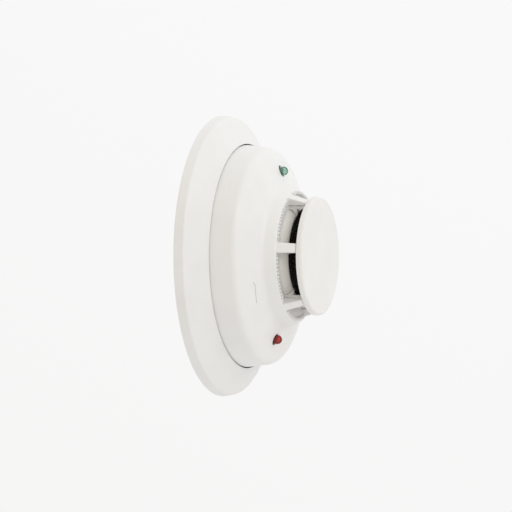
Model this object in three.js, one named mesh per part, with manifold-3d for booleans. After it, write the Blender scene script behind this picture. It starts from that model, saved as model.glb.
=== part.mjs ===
// Round fire detector on a flanged wall base, with a screened vent under a flat cap.
// Millimetres, +Z up. The wall is the plane y = 0 and the detector faces -Y.
// "Height" below always means the distance in front of the wall, along -Y, and "radius" the
// distance from the detector's axis. Angles run counter-clockwise seen from the front, from +X.

import * as THREE from 'three';
import { mergeVertices } from 'three/addons/utils/BufferGeometryUtils.js';
import Module from 'manifold-3d';

const wasm = await Module();
wasm.setup();

// ---------------------------------------------------------------- driving dimensions

const GAP = 0.3; // between pieces that rest on each other
const HEAD_TURN = 7.6; // degrees clockwise that the whole detector sits turned on its wall
const THIRD = 120;

// mounting base
const BASE_RADIUS = 77.5;
const CREASE_RADIUS = 76.5; // where the side wall meets the cone face
const CREASE_HEIGHT = 5.25;
const BASE_HEIGHT = 14.5; // of the cone face's inner edge
const WELL_RADIUS = 62.2;
const FLANGE_WALL = 2.2;
const FLOOR = 2.8; // thickness of the base's floor
const WIRE_OPENING_RADIUS = 24;
const RIB_COUNT = 12;
const RIB_THICKNESS = 1.6;
const SLOT_WIDTH = 4.6;
const SLOT_FROM = 30; // nearest and furthest screw centre that a slot takes
const SLOT_TO = 44.5;

// bayonet between base and head
const LEDGE_INNER_RADIUS = 59;
const LEDGE_LOW = 10.2;
const LEDGE_HIGH = 11.8;
const LEDGE_HALF_ANGLE = 8;
const LUG_RADIUS = 60.9;
const LUG_HALF_ANGLE = 7;
const STOP_ANGLE = 8.4; // of the stop rib's middle, clockwise from the lug's middle

// terminals
const TERMINAL_COUNT = 4;
const TERMINAL_ANGLE = 45; // of the first one; the others are a quarter turn apart
const TERMINAL_SCREW_RADIUS = 56; // distance of the screw from the axis
const CLIP_WIDTH = 7;
const CLIP_THICKNESS = 0.7;
const CLIP_MOUTH_HEIGHT = 5.8;
const CLIP_TOP_HEIGHT = 6.4;
const CLIP_LOW = FLOOR + GAP;
const WASHER_SIDE = 8;
const WASHER_THICKNESS = 0.8;
const WASHER_LOW = CLIP_LOW + CLIP_THICKNESS + GAP;
const SCREW_SHANK_RADIUS = 1.6;
const SCREW_HEAD_RADIUS = 3.1;
const SCREW_HEAD_HEIGHT = 2;
const SCREW_HEAD_LOW = WASHER_LOW + WASHER_THICKNESS + GAP;
const BLADE_RADIUS = 41; // of the upright part's inner face
const BLADE_TIP_RADIUS = 50.3;
const BLADE_THICKNESS = 0.8;
const BLADE_WIDTH = 5.5;
const BLADE_HEIGHT = 4.4; // of the foot's wall side

// rear housing and board
const HOUSING_RADIUS = 57;
const HOUSING_LOW = 8;
const HOUSING_TOP = 21.5;
const HOUSING_WALL = 2;
const BOARD_RADIUS = 52.5;
const BOARD_LOW = 20;
const BOARD_TOP = 21.6;
const POST_RADIUS = 3.2;
const POST_PLACE = 46; // distance of a post from the axis
const POST_ANGLE = 60;
const BOARD_SCREW_SHANK = 0.9;
const PART_LOW = BOARD_TOP + GAP; // where the board's components stand
const BOARD_SCREW_HEAD_RADIUS = 2.8;
const BOARD_SCREW_HEAD_HEIGHT = 1.6;
const BOARD_SCREW_LENGTH = 8.9; // of the shank

// board components, each at its place (distance from the axis) and angle
const RELAY = { depth: 10, width: 18, height: 9, place: 36.5, angle: 238 };
const LARGE_CAPACITOR = { radius: 4, height: 8.5, place: 36.5, angle: 135 };
const SMALL_CAPACITOR = { radius: 3.1, height: 6.8, place: 37, angle: 112 };
const CONTROLLER = { side: 9, height: 1.4, place: 41, angle: 330 };
const REED = { radius: 1.3, length: 13, leadRadius: 0.35, leadLength: 18, place: 45, angle: 208 };

// front cover
const SKIRT_RADIUS = 61.2;
const SKIRT_LOW = 12.4;
const SHOULDER_RADIUS = 59.8;
const SHOULDER_HEIGHT = 24.6;
const DOME_EDGE_RADIUS = 42.4; // where the dome runs into the collar's fillet
const DOME_EDGE_HEIGHT = 34.6;
const COVER_WALL = 1.8;
const RIM_RADIUS = 36;
const RIM_HEIGHT = 42.6;
const RIM_INNER = 33.1; // inner edge of the rim's raised land
const VENT_FLOOR = 42.2;
const VENT_FLOOR_BACK = 40.6;
const VENT_FLOOR_INNER = 28.5; // the throat ring stands inside this
const CONE_FOOT_RADIUS = 28.1;
const THROAT_RADIUS = 24.5; // outside of the cone's tip
const THROAT_HEIGHT = 45.9;
const THROAT_BORE = 23.3;
const TONGUE_ANGLE = 30;
const TONGUE_HALF_ANGLE = 5;

// fins and cap
const FIN_COUNT = 6;
const FIN_WIDTH = 5.6;
const FIN_INNER = 28.4;
const FIN_FOOT = 35.3; // distance of the fin's outer face from the axis, at the vent floor
const FIN_HEAD = 32.2; // and under the cap
const GUSSET_INNER = 23.9;
const GUSSET_HEIGHT = 46.8;
const GUSSET_WIDTH = 4.2;
const CAP_RADIUS = 32.5;
const CAP_BACK = 52.9;
const FIN_TOP = CAP_BACK - GAP;
const CAP_FRONT = 56.3;
const CAP_EDGE = 1.4; // radius of the front edge's rounding
const PEG_RADIUS = 1; // of the pegs on three fins that hold the cap
const PEG_PLACE = 30.2;
const PEG_TOP = 54.8;

// indicators
const LED_RADIUS = 2.5;
const LED_FLANGE_RADIUS = 2.9;
const LED_PLACE = 46.6;
const LED_ANGLES = [97.5, 265.5]; // green above, red below
const LED_LOW = 28;
const LED_SHOULDER = 34.6; // height of the lens end's centre
const LED_HOLE_RADIUS = 3.05;
const SPACER_BORE = 1.2;

// sensing chamber and thermistors
const CHAMBER_RADIUS = 22.4;
const CHAMBER_WALL = 2;
const CHAMBER_FLOOR = 40;
const SCREEN_INNER = 21.7;
const SCREEN_TOP = 52.5;
const VANE_COUNT = 14;
const VANE_TILT = 40;
const THERMISTOR_PLACE = 30.6;
const THERMISTOR_ANGLE = 30;
const THERMISTOR_TOP = 48;
const THERMISTOR_HOLE_RADIUS = 2.1;
const OPTIC_RADIUS = 1.8;
const OPTIC_LENGTH = 4; // up to the lens end's centre
const OPTIC_PLACE = 14; // distance of the flat end from the axis
const OPTIC_ANGLES = [0, 145]; // so that the photodiode sees only scattered light

const FINE = 64; // segments round the large mouldings
const MEDIUM = 40;
const SMALL = 16;
const TINY = 12;

// ---------------------------------------------------------------- materials

const finish = (color, roughness, metalness = 0, extra = {}) =>
  new THREE.MeshStandardMaterial({ color, roughness, metalness, ...extra });

const basePlastic = finish(0xeeedea, 0.55);
const coverPlastic = finish(0xefeeeb, 0.45);
const capPlastic = finish(0xecebe6, 0.5);
const housingPlastic = finish(0xe6e4de, 0.55);
const blackPlastic = finish(0x141412, 0.6);
const screenBlack = finish(0x100f0d, 0.5, 0.3);
const boardGreen = finish(0x1d5a36, 0.45);
const springBrass = finish(0xc9a95b, 0.35, 1);
const nickel = finish(0xb9b8b2, 0.3, 1);
const steel = finish(0xa6a8aa, 0.35, 1);
const greenLens = finish(0x7fb69a, 0.15, 0, { transparent: true, opacity: 0.85 });
const redLens = finish(0xa32a2a, 0.15, 0, { transparent: true, opacity: 0.85 });
const clearBlue = finish(0x2a2c44, 0.15);
const sleeveBlack = finish(0x1c2530, 0.35);
const relayPlastic = finish(0x2d2f33, 0.4);
const chipBlack = finish(0x17181a, 0.5);
const glass = finish(0xb8c4c0, 0.08, 0, { transparent: true, opacity: 0.5 });
const epoxy = finish(0x23211f, 0.3);

// ---------------------------------------------------------------- solids

// Turns a closed geometry into a solid that can be joined and cut.
function solid(geometry) {
  const bare = geometry.clone();
  bare.deleteAttribute('normal');
  bare.deleteAttribute('uv');
  const merged = mergeVertices(bare);
  const corners = merged.index.array;
  const triangles = [];
  for (let i = 0; i < corners.length; i += 3) {
    const [a, b, c] = [corners[i], corners[i + 1], corners[i + 2]];
    if (a !== b && b !== c && c !== a) triangles.push(a, b, c);
  }
  return new wasm.Manifold(new wasm.Mesh({
    numProp: 3,
    vertProperties: Float32Array.from(merged.attributes.position.array),
    triVerts: Uint32Array.from(triangles),
  }));
}

function geometryOf(shape) {
  const { vertProperties, triVerts } = shape.getMesh();
  const geometry = new THREE.BufferGeometry();
  geometry.setAttribute('position', new THREE.BufferAttribute(Float32Array.from(vertProperties), 3));
  geometry.setIndex(Array.from(triVerts));
  geometry.computeVertexNormals();
  return geometry;
}

const joined = (shapes) => shapes.reduce((whole, shape) => whole.add(shape));
const radians = THREE.MathUtils.degToRad;

// Rotates a geometry counter-clockwise about the detector's axis.
const turned = (geometry, angle) => geometry.rotateY(-radians(angle));

// A full turn of a closed outline of (radius, height) points, listed counter-clockwise.
function revolved(outline, segments, divisions = 3) {
  const points = outline.getPoints(divisions);
  if (points[0].x > 0) points.push(points[0].clone());
  return new THREE.LatheGeometry(points, segments).rotateX(Math.PI);
}

// A path through (radius, height) corners.
function outlineOf(corners) {
  const outline = new THREE.Path();
  corners.forEach(([radius, height], i) => {
    if (i === 0) outline.moveTo(radius, height);
    else outline.lineTo(radius, height);
  });
  return outline;
}

// A flat shape, drawn as seen from the front, between two heights.
function plate(shape, low, high, curveSegments = 12) {
  const options = { depth: high - low, bevelEnabled: false, curveSegments };
  return new THREE.ExtrudeGeometry(shape, options).rotateX(Math.PI / 2).translate(0, -low, 0);
}

// A profile in (radius, height), given a width across the radius.
function rib(corners, width) {
  const shape = new THREE.Shape(corners.map(([radius, height]) => new THREE.Vector2(radius, height)));
  const options = { depth: width, bevelEnabled: false };
  return new THREE.ExtrudeGeometry(shape, options).translate(0, 0, -width / 2).rotateX(Math.PI);
}

function rod(radius, low, high, segments = SMALL) {
  const length = high - low;
  return new THREE.CylinderGeometry(radius, radius, length, segments).translate(0, -low - length / 2, 0);
}

// A rod parallel to the detector's axis, away from it.
const rodAt = (radius, low, high, place, angle, segments = SMALL) =>
  turned(rod(radius, low, high, segments).translate(place, 0, 0), angle);

function ringSector(inner, outer, fromAngle, toAngle) {
  const [from, to] = [radians(fromAngle), radians(toAngle)];
  const shape = new THREE.Shape();
  shape.absarc(0, 0, outer, from, to, false);
  shape.absarc(0, 0, inner, to, from, true);
  return shape;
}

function block(radialSize, width, low, high) {
  const height = high - low;
  return new THREE.BoxGeometry(radialSize, height, width).translate(0, -low - height / 2, 0);
}

const repeated = (count, make) => Array.from({ length: count }, (_, i) => make(i));

// ---------------------------------------------------------------- mounting base

function mountingBase() {
  const wallInner = BASE_RADIUS - FLANGE_WALL;
  const wellOuter = WELL_RADIUS + FLANGE_WALL;
  const underCrease = CREASE_HEIGHT - 1.6;
  const underRim = BASE_HEIGHT - 3.8;
  const shell = solid(revolved(outlineOf([
    [WIRE_OPENING_RADIUS, 0],
    [wellOuter, 0],
    [wellOuter, underRim],
    [wallInner, underCrease],
    [wallInner, 0],
    [BASE_RADIUS, 0],
    [CREASE_RADIUS, CREASE_HEIGHT],
    [WELL_RADIUS + 0.8, BASE_HEIGHT - 0.1],
    [WELL_RADIUS, BASE_HEIGHT - 0.5],
    [WELL_RADIUS, FLOOR],
    [WIRE_OPENING_RADIUS, FLOOR],
  ]), FINE));

  const flangeRib = [
    [wellOuter - 0.2, 0.8],
    [wallInner + 0.2, 0.8],
    [wallInner + 0.2, underCrease + 0.2],
    [wellOuter - 0.2, underRim + 0.3],
  ];
  const ribs = repeated(RIB_COUNT, (i) =>
    solid(turned(rib(flangeRib, RIB_THICKNESS), (360 / RIB_COUNT) * (i + 0.5))));

  const ledge = ringSector(LEDGE_INNER_RADIUS, WELL_RADIUS + 0.4, -STOP_ANGLE - 1, LEDGE_HALF_ANGLE);
  const stop = ringSector(LEDGE_INNER_RADIUS, WELL_RADIUS + 0.4, -STOP_ANGLE - 1, -STOP_ANGLE + 1);
  const bayonet = repeated(3, (i) => [
    solid(turned(plate(ledge, LEDGE_LOW, LEDGE_HIGH, 6), i * THIRD)),
    solid(turned(plate(stop, HOUSING_LOW, LEDGE_LOW + 0.2, 2), i * THIRD)),
  ]).flat();

  const slotShape = new THREE.Shape();
  slotShape.absarc(SLOT_TO, 0, SLOT_WIDTH / 2, -Math.PI / 2, Math.PI / 2, false);
  slotShape.absarc(SLOT_FROM, 0, SLOT_WIDTH / 2, Math.PI / 2, -Math.PI / 2 + 2 * Math.PI, false);
  const slots = [0, 180].map((angle) =>
    solid(turned(plate(slotShape, -1, FLOOR + 1, 8), angle + HEAD_TURN)));
  const screwHoles = repeated(TERMINAL_COUNT, (i) =>
    solid(rodAt(SCREW_SHANK_RADIUS + GAP, -1, FLOOR + 1, TERMINAL_SCREW_RADIUS, terminalAngle(i), 12)));

  return joined([shell, ...ribs, ...bayonet]).subtract(joined([...slots, ...screwHoles]));
}

const terminalAngle = (i) => TERMINAL_ANGLE + i * (360 / TERMINAL_COUNT);

// A strip folded over itself: the lower leaf lies on the floor under the terminal screw, and the
// upper leaf ends in a flared lip. The head's blade turns in between the leaves.
function terminalClip() {
  const foldRadius = BLADE_TIP_RADIUS + 1.7;
  const lowerTop = CLIP_LOW + CLIP_THICKNESS;
  const strip = solid(rib([
    [BLADE_RADIUS + 2, CLIP_LOW],
    [TERMINAL_SCREW_RADIUS + 4, CLIP_LOW],
    [TERMINAL_SCREW_RADIUS + 4, lowerTop],
    [foldRadius, lowerTop],
    [foldRadius, CLIP_TOP_HEIGHT],
    [BLADE_RADIUS + 3.2, CLIP_TOP_HEIGHT],
    [BLADE_RADIUS + 2, CLIP_TOP_HEIGHT + 0.6],
    [BLADE_RADIUS + 1.7, CLIP_TOP_HEIGHT + 0.1],
    [BLADE_RADIUS + 3, CLIP_MOUTH_HEIGHT],
    [foldRadius - CLIP_THICKNESS, CLIP_MOUTH_HEIGHT],
    [foldRadius - CLIP_THICKNESS, lowerTop],
    [BLADE_RADIUS + 2, lowerTop],
  ], CLIP_WIDTH));
  const hole = rod(SCREW_SHANK_RADIUS + GAP, 0, WASHER_LOW, 12).translate(TERMINAL_SCREW_RADIUS, 0, 0);
  return strip.subtract(solid(hole));
}

function terminalWasher() {
  const square = solid(block(WASHER_SIDE, WASHER_SIDE, 0, WASHER_THICKNESS));
  return square.subtract(solid(rod(SCREW_SHANK_RADIUS + GAP, -1, WASHER_THICKNESS + 1, 12)));
}

// A pan-head screw with a slot, standing on height 0 with its shank reaching back.
function panScrew(shankRadius, shankLength, headRadius, headHeight) {
  const outline = new THREE.Path();
  outline.moveTo(0, -shankLength);
  outline.lineTo(shankRadius, -shankLength);
  outline.lineTo(shankRadius, 0);
  outline.lineTo(headRadius, 0);
  outline.lineTo(headRadius, headHeight * 0.45);
  outline.quadraticCurveTo(headRadius * 0.9, headHeight, headRadius * 0.5, headHeight);
  outline.lineTo(0, headHeight);
  const slot = block(headRadius * 2.4, headHeight * 0.4, headHeight * 0.5, headHeight + 1);
  return solid(revolved(outline, TINY, 2)).subtract(solid(slot));
}

// ---------------------------------------------------------------- detector head

function rearHousing() {
  const inner = HOUSING_RADIUS - HOUSING_WALL;
  const floorTop = HOUSING_LOW + HOUSING_WALL;
  const cup = solid(revolved(outlineOf([
    [0, HOUSING_LOW],
    [HOUSING_RADIUS - 0.6, HOUSING_LOW],
    [HOUSING_RADIUS, HOUSING_LOW + 0.6],
    [HOUSING_RADIUS, HOUSING_TOP],
    [inner, HOUSING_TOP],
    [inner, floorTop],
    [0, floorTop],
  ]), FINE));

  const lug = ringSector(HOUSING_RADIUS - 0.8, LUG_RADIUS, -LUG_HALF_ANGLE, LUG_HALF_ANGLE);
  const lugs = repeated(3, (i) =>
    solid(turned(plate(lug, HOUSING_LOW + 0.05, LEDGE_LOW - 0.4, 6), i * THIRD)));
  const posts = repeated(3, (i) =>
    solid(rodAt(POST_RADIUS, floorTop - 0.5, BOARD_LOW - GAP, POST_PLACE, POST_ANGLE + i * THIRD, 16)));
  const pilots = repeated(3, (i) => solid(rodAt(
    BOARD_SCREW_SHANK + GAP, floorTop + 2, BOARD_LOW, POST_PLACE, POST_ANGLE + i * THIRD, 10)));

  const slotSize = BLADE_THICKNESS + 2 * GAP;
  const bladeSlot = block(slotSize, BLADE_WIDTH + 2 * GAP, HOUSING_LOW - 1, floorTop + 1)
    .translate(BLADE_RADIUS + BLADE_THICKNESS / 2, 0, 0);
  const bladeSlots = repeated(TERMINAL_COUNT, (i) =>
    solid(turned(bladeSlot.clone(), terminalAngle(i))));

  return joined([cup, ...lugs, ...posts]).subtract(joined([...pilots, ...bladeSlots]));
}

// An L: the upright passes through the housing's floor and the foot lies in the clip.
function contactBlade() {
  return solid(rib([
    [BLADE_RADIUS, BLADE_HEIGHT],
    [BLADE_TIP_RADIUS, BLADE_HEIGHT],
    [BLADE_TIP_RADIUS, BLADE_HEIGHT + BLADE_THICKNESS],
    [BLADE_RADIUS + BLADE_THICKNESS, BLADE_HEIGHT + BLADE_THICKNESS],
    [BLADE_RADIUS + BLADE_THICKNESS, BOARD_LOW - GAP],
    [BLADE_RADIUS, BOARD_LOW - GAP],
  ], BLADE_WIDTH));
}

function circuitBoard() {
  const disc = solid(rod(BOARD_RADIUS, BOARD_LOW, BOARD_TOP, FINE));
  const holes = repeated(3, (i) => solid(rodAt(
    BOARD_SCREW_SHANK + 0.6, BOARD_LOW - 1, BOARD_TOP + 1, POST_PLACE, POST_ANGLE + i * THIRD, 12)));
  return disc.subtract(joined(holes));
}

// A round lens with a hemispherical end, on a wider flange.
function indicator() {
  const outline = new THREE.Path();
  outline.moveTo(0, LED_LOW);
  outline.lineTo(LED_FLANGE_RADIUS, LED_LOW);
  outline.lineTo(LED_FLANGE_RADIUS, LED_LOW + 1);
  outline.lineTo(LED_RADIUS, LED_LOW + 1);
  outline.absarc(0, LED_SHOULDER, LED_RADIUS, 0, Math.PI / 2, false);
  return solid(revolved(outline, SMALL));
}

function indicatorSpacer() {
  const tube = solid(rod(LED_RADIUS, PART_LOW, LED_LOW - GAP, 16));
  return tube.subtract(solid(rod(SPACER_BORE, PART_LOW - 1, LED_LOW, TINY)));
}

// A black pedestal, open at the back, that carries the optics on its top plate.
function chamberBase() {
  const pedestal = solid(revolved(outlineOf([
    [CHAMBER_RADIUS - CHAMBER_WALL, PART_LOW],
    [CHAMBER_RADIUS + 3, PART_LOW],
    [CHAMBER_RADIUS + 3, PART_LOW + 1.6],
    [CHAMBER_RADIUS, PART_LOW + 1.6],
    [CHAMBER_RADIUS, CHAMBER_FLOOR],
    [0, CHAMBER_FLOOR],
    [0, CHAMBER_FLOOR - CHAMBER_WALL],
    [CHAMBER_RADIUS - CHAMBER_WALL, CHAMBER_FLOOR - CHAMBER_WALL],
  ]), MEDIUM));
  const cradle = (angle) => solid(turned(
    block(7, 7, CHAMBER_FLOOR - 0.5, CHAMBER_FLOOR + 4.5).translate(11.5, 0, 0), angle));
  const channel = (angle) => solid(turned(
    block(9, 2 * OPTIC_RADIUS + 2 * GAP, CHAMBER_FLOOR + 0.1, CHAMBER_FLOOR + 6).translate(11.5, 0, 0),
    angle));
  return joined([pedestal, ...OPTIC_ANGLES.map(cradle)]).subtract(joined(OPTIC_ANGLES.map(channel)));
}

// A small round-ended optic lying along +X, its lens towards the axis.
function optic() {
  const outline = new THREE.Path();
  outline.moveTo(0, 0);
  outline.lineTo(OPTIC_RADIUS, 0);
  outline.absarc(0, OPTIC_LENGTH, OPTIC_RADIUS, 0, Math.PI / 2, false);
  return solid(revolved(outline, TINY, 2).rotateZ(-Math.PI / 2));
}

// A lid with slanted vanes under it, which let smoke in and keep light out.
function chamberLabyrinth() {
  const lid = solid(rod(SCREEN_INNER - GAP, SCREEN_TOP - 1.6, SCREEN_TOP - 0.1, MEDIUM));
  const vane = () => block(5.2, 1.2, CHAMBER_FLOOR + GAP, SCREEN_TOP - 1.2)
    .rotateY(-radians(VANE_TILT)).translate(18.4, 0, 0);
  const vanes = repeated(VANE_COUNT, (i) => solid(turned(vane(), (360 / VANE_COUNT) * (i + 0.5))));
  return joined([lid, ...vanes]);
}

// The band that carries the insect mesh round the chamber.
function insectScreen() {
  return solid(revolved(outlineOf([
    [SCREEN_INNER, CHAMBER_FLOOR + GAP],
    [CHAMBER_RADIUS, CHAMBER_FLOOR + GAP],
    [CHAMBER_RADIUS, SCREEN_TOP],
    [SCREEN_INNER, SCREEN_TOP],
  ]), MEDIUM));
}

// A bead on a sleeved lead, standing up through the vent floor.
function thermistor() {
  const sleeve = 1.2;
  const bead = 1.7;
  const outline = new THREE.Path();
  outline.moveTo(0, PART_LOW);
  outline.lineTo(sleeve, PART_LOW);
  outline.lineTo(sleeve, THERMISTOR_TOP - 4.5);
  outline.quadraticCurveTo(bead, THERMISTOR_TOP - 4, bead, THERMISTOR_TOP - 2.4);
  outline.quadraticCurveTo(bead, THERMISTOR_TOP, 0, THERMISTOR_TOP);
  return solid(revolved(outline, TINY));
}

function capacitor({ radius, height }) {
  const groove = 0.3;
  return solid(revolved(outlineOf([
    [0, 0],
    [radius, 0],
    [radius, 1.2],
    [radius - groove, 1.6],
    [radius, 2],
    [radius, height - groove],
    [radius - groove, height],
    [0, height],
  ]), SMALL));
}

// A glass tube with a lead at each end, lying along Z.
function reedSwitch() {
  const tube = new THREE.CylinderGeometry(REED.radius, REED.radius, REED.length, SMALL);
  const lead = new THREE.CylinderGeometry(REED.leadRadius, REED.leadRadius, REED.leadLength, 8);
  return solid(tube).add(solid(lead)).rotate([90, 0, 0]);
}

// ---------------------------------------------------------------- front cover

// Outer skin from the skirt's edge to the vent floor, then back along the inside.
function coverOutline() {
  const wall = COVER_WALL;
  const outline = new THREE.Path();
  outline.moveTo(SKIRT_RADIUS, SKIRT_LOW);
  outline.lineTo(SKIRT_RADIUS - 0.2, BASE_HEIGHT + 0.5);
  outline.lineTo(SHOULDER_RADIUS, SHOULDER_HEIGHT);
  outline.bezierCurveTo(
    SHOULDER_RADIUS - 0.3, SHOULDER_HEIGHT + 2.6, SHOULDER_RADIUS - 1.6, SHOULDER_HEIGHT + 3.9,
    SHOULDER_RADIUS - 4.4, SHOULDER_HEIGHT + 5.1);
  outline.quadraticCurveTo(
    DOME_EDGE_RADIUS + 5, DOME_EDGE_HEIGHT - 1.5, DOME_EDGE_RADIUS, DOME_EDGE_HEIGHT);
  outline.quadraticCurveTo(
    RIM_RADIUS + 2.8, DOME_EDGE_HEIGHT + 1.2, RIM_RADIUS + 2.2, RIM_HEIGHT - 4.2);
  outline.lineTo(RIM_RADIUS + 0.5, RIM_HEIGHT - 0.5);
  outline.lineTo(RIM_RADIUS, RIM_HEIGHT);
  outline.lineTo(RIM_INNER + 0.3, RIM_HEIGHT);
  outline.lineTo(RIM_INNER, VENT_FLOOR);
  outline.lineTo(VENT_FLOOR_INNER, VENT_FLOOR);
  outline.lineTo(VENT_FLOOR_INNER, VENT_FLOOR_BACK);
  outline.lineTo(RIM_RADIUS - 1.6, VENT_FLOOR_BACK);
  outline.lineTo(RIM_RADIUS + 0.6, RIM_HEIGHT - 5.6);
  outline.lineTo(DOME_EDGE_RADIUS - 0.8, DOME_EDGE_HEIGHT - wall);
  outline.lineTo(SHOULDER_RADIUS - 5, SHOULDER_HEIGHT + 3.1);
  outline.lineTo(SHOULDER_RADIUS - 2.7, SHOULDER_HEIGHT + 1.8);
  outline.lineTo(SHOULDER_RADIUS - wall, SHOULDER_HEIGHT - 0.2);
  outline.lineTo(SKIRT_RADIUS - wall - 0.2, BASE_HEIGHT + 0.5);
  outline.lineTo(SKIRT_RADIUS - wall, SKIRT_LOW);
  return outline;
}

function frontCover() {
  const skin = solid(revolved(coverOutline(), FINE));
  const half = TONGUE_HALF_ANGLE;
  const tongue = ringSector(HOUSING_RADIUS + 0.4, HOUSING_RADIUS + 1.9, -half, half);
  const bridge = ringSector(HOUSING_RADIUS + 0.5, SKIRT_RADIUS - 1, -half, half);
  const tongues = repeated(3, (i) => joined([
    solid(turned(plate(tongue, LEDGE_HIGH + 0.4, SHOULDER_HEIGHT - 2, 4), TONGUE_ANGLE + i * THIRD)),
    solid(turned(plate(bridge, SHOULDER_HEIGHT - 5, SHOULDER_HEIGHT - 2.4, 4), TONGUE_ANGLE + i * THIRD)),
  ]));

  const ledHoles = LED_ANGLES.map((angle) =>
    solid(rodAt(LED_HOLE_RADIUS, LED_LOW, LED_SHOULDER + 8, LED_PLACE, angle, 24)));
  const thermistorHoles = [THERMISTOR_ANGLE, -THERMISTOR_ANGLE].map((angle) =>
    solid(rodAt(THERMISTOR_HOLE_RADIUS, VENT_FLOOR - 4, VENT_FLOOR + 1, THERMISTOR_PLACE, angle, 14)));

  return joined([skin, ...tongues]).subtract(joined([...ledHoles, ...thermistorHoles]));
}

// The ring inside the vent floor, a cone that narrows to the screen.
function ventThroat() {
  return solid(revolved(outlineOf([
    [VENT_FLOOR_INNER - GAP, VENT_FLOOR_BACK],
    [VENT_FLOOR_INNER - GAP, VENT_FLOOR + 0.2],
    [CONE_FOOT_RADIUS, VENT_FLOOR + 0.4],
    [THROAT_RADIUS, THROAT_HEIGHT],
    [THROAT_BORE, THROAT_HEIGHT],
    [THROAT_BORE, THROAT_HEIGHT - 0.6],
    [CONE_FOOT_RADIUS - 0.9, VENT_FLOOR - 0.4],
    [CONE_FOOT_RADIUS - 0.9, VENT_FLOOR_BACK],
  ]), FINE));
}

// A fin: an outer post whose outer face leans in towards the cap, and a low gusset over the cone.
// Every other fin has a peg that goes into the cap.
function ventFin(pegged) {
  const postFoot = RIM_HEIGHT + GAP;
  const postInnerFoot = VENT_FLOOR + GAP;
  const gussetFoot = THROAT_HEIGHT + GAP;
  const post = solid(rib([
    [FIN_INNER, postInnerFoot],
    [RIM_INNER - GAP, postInnerFoot],
    [RIM_INNER, postFoot],
    [FIN_FOOT, postFoot],
    [FIN_HEAD, FIN_TOP],
    [FIN_INNER, FIN_TOP],
  ], FIN_WIDTH));
  const gusset = solid(rib([
    [GUSSET_INNER, gussetFoot],
    [THROAT_RADIUS + GAP, gussetFoot],
    [FIN_INNER + 0.2, postInnerFoot + 0.4],
    [FIN_INNER + 0.2, GUSSET_HEIGHT],
    [GUSSET_INNER, GUSSET_HEIGHT],
  ], GUSSET_WIDTH));
  const fin = post.add(gusset);
  return pegged ? fin.add(solid(rodAt(PEG_RADIUS, FIN_TOP - 1, PEG_TOP, PEG_PLACE, 0, TINY))) : fin;
}

function capDisc() {
  const outline = new THREE.Path();
  outline.moveTo(0, CAP_BACK);
  outline.lineTo(CAP_RADIUS - 0.2, CAP_BACK);
  outline.lineTo(CAP_RADIUS, CAP_BACK + 0.2);
  outline.absarc(CAP_RADIUS - CAP_EDGE, CAP_FRONT - CAP_EDGE - 0.1, CAP_EDGE, 0, Math.PI / 2, false);
  outline.lineTo(0, CAP_FRONT);
  const pegHoles = repeated(3, (i) => solid(rodAt(
    PEG_RADIUS + GAP, CAP_BACK - 1, PEG_TOP + GAP, PEG_PLACE, i * THIRD, TINY)));
  return solid(revolved(outline, FINE)).subtract(joined(pegHoles));
}

// ---------------------------------------------------------------- assembly

const group = new THREE.Group();
const detector = new THREE.Group();
detector.rotation.y = radians(HEAD_TURN);
group.add(detector);

function add(name, shape, material) {
  const mesh = new THREE.Mesh(geometryOf(shape), material);
  mesh.name = name;
  detector.add(mesh);
  return mesh;
}

// Sets a piece down at a distance from the axis, at a height, facing along its own radius.
function addAt(name, shape, material, place, angle, height) {
  const mesh = add(name, shape, material);
  mesh.position.set(place * Math.cos(radians(angle)), -height, place * Math.sin(radians(angle)));
  mesh.rotation.y = -radians(angle);
  return mesh;
}

add('mounting_base', mountingBase(), basePlastic);
for (let i = 0; i < TERMINAL_COUNT; i += 1) {
  const angle = terminalAngle(i);
  const screw = panScrew(SCREW_SHANK_RADIUS, SCREW_HEAD_LOW - 0.8, SCREW_HEAD_RADIUS, SCREW_HEAD_HEIGHT);
  addAt(`terminal_clip_${i + 1}`, terminalClip(), springBrass, 0, angle, 0);
  addAt(`terminal_washer_${i + 1}`, terminalWasher(), nickel, TERMINAL_SCREW_RADIUS, angle, WASHER_LOW);
  addAt(`terminal_screw_${i + 1}`, screw, steel, TERMINAL_SCREW_RADIUS, angle, SCREW_HEAD_LOW);
  addAt(`contact_blade_${i + 1}`, contactBlade(), nickel, 0, angle, 0);
}

add('rear_housing', rearHousing(), housingPlastic);
add('circuit_board', circuitBoard(), boardGreen);
for (let i = 0; i < 3; i += 1) {
  const screw = panScrew(
    BOARD_SCREW_SHANK, BOARD_SCREW_LENGTH, BOARD_SCREW_HEAD_RADIUS, BOARD_SCREW_HEAD_HEIGHT);
  addAt(`board_screw_${i + 1}`, screw, steel, POST_PLACE, POST_ANGLE + i * THIRD, PART_LOW);
}

function addOnBoard(name, shape, material, { place, angle }, height = PART_LOW) {
  addAt(name, shape, material, place, angle, height);
}

const relayCase = solid(block(RELAY.depth, RELAY.width, 0, RELAY.height));
const controllerCase = solid(block(CONTROLLER.side, CONTROLLER.side, 0, CONTROLLER.height));
addOnBoard('relay', relayCase, relayPlastic, RELAY);
addOnBoard('capacitor_large', capacitor(LARGE_CAPACITOR), sleeveBlack, LARGE_CAPACITOR);
addOnBoard('capacitor_small', capacitor(SMALL_CAPACITOR), sleeveBlack, SMALL_CAPACITOR);
addOnBoard('microcontroller', controllerCase, chipBlack, CONTROLLER);
addOnBoard('reed_switch', reedSwitch(), glass, REED, PART_LOW + REED.radius);

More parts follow.
